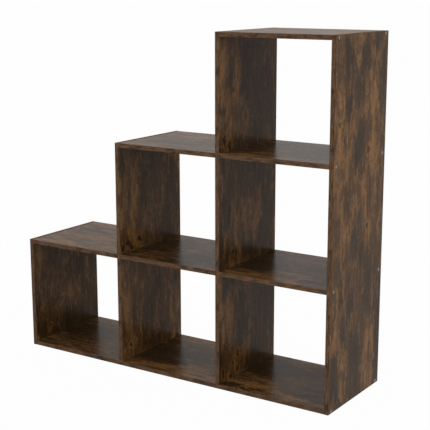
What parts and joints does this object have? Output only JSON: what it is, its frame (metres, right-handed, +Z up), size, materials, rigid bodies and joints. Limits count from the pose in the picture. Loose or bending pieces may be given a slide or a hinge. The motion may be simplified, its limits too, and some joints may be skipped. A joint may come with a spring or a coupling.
{
  "type": "staircase bookshelf",
  "caption": "Open-backed cube bookshelf whose columns step up like a staircase, made of thin laminated boards screwed and dowelled together.",
  "frame": {"origin": "on the floor, below the middle of the whole shelf's outline", "axes": "+X to the right along the width, towards the tall column; +Y from the front edges to the rear edges; +Z up"},
  "size_m": [0.975, 0.282, 0.924],
  "materials": {
    "laminated_board": "satin",
    "screw_steel": "satin",
    "dowel_wood": "matte"
  },
  "bodies": {
    "root": {"left_side": "laminated_board", "left_divider": "laminated_board", "right_divider": "laminated_board", "right_side": "laminated_board", "bottom_board": "laminated_board", "left_column_top": "laminated_board", "middle_column_shelf": "laminated_board", "middle_column_top": "laminated_board", "right_column_lower_shelf": "laminated_board", "right_column_upper_shelf": "laminated_board", "right_column_top": "laminated_board", "screw_left_side_bottom_board_front": "screw_steel", "screw_left_side_bottom_board_rear": "screw_steel", "screw_left_side_left_column_top_front": "screw_steel", "screw_left_side_left_column_top_rear": "screw_steel", "screw_left_divider_middle_column_shelf_front": "screw_steel", "screw_left_divider_middle_column_shelf_rear": "screw_steel", "screw_left_divider_middle_column_top_front": "screw_steel", "screw_left_divider_middle_column_top_rear": "screw_steel", "screw_right_divider_right_column_lower_shelf_front": "screw_steel", "screw_right_divider_right_column_lower_shelf_rear": "screw_steel", "screw_right_divider_right_column_upper_shelf_front": "screw_steel", "screw_right_divider_right_column_upper_shelf_rear": "screw_steel", "screw_right_divider_right_column_top_front": "screw_steel", "screw_right_divider_right_column_top_rear": "screw_steel", "screw_right_side_bottom_board_front": "screw_steel", "screw_right_side_bottom_board_rear": "screw_steel", "screw_right_side_right_column_lower_shelf_front": "screw_steel", "screw_right_side_right_column_lower_shelf_rear": "screw_steel", "screw_right_side_right_column_upper_shelf_front": "screw_steel", "screw_right_side_right_column_upper_shelf_rear": "screw_steel", "screw_right_side_right_column_top_front": "screw_steel", "screw_right_side_right_column_top_rear": "screw_steel", "screw_bottom_board_left_divider_front": "screw_steel", "screw_bottom_board_left_divider_rear": "screw_steel", "screw_bottom_board_right_divider_front": "screw_steel", "screw_bottom_board_right_divider_rear": "screw_steel", "dowel_left_divider_left_column_top_front": "dowel_wood", "dowel_left_divider_left_column_top_rear": "dowel_wood", "dowel_right_divider_middle_column_shelf_front": "dowel_wood", "dowel_right_divider_middle_column_shelf_rear": "dowel_wood", "dowel_right_divider_middle_column_top_front": "dowel_wood", "dowel_right_divider_middle_column_top_rear": "dowel_wood"}
  },
  "joints": []
}
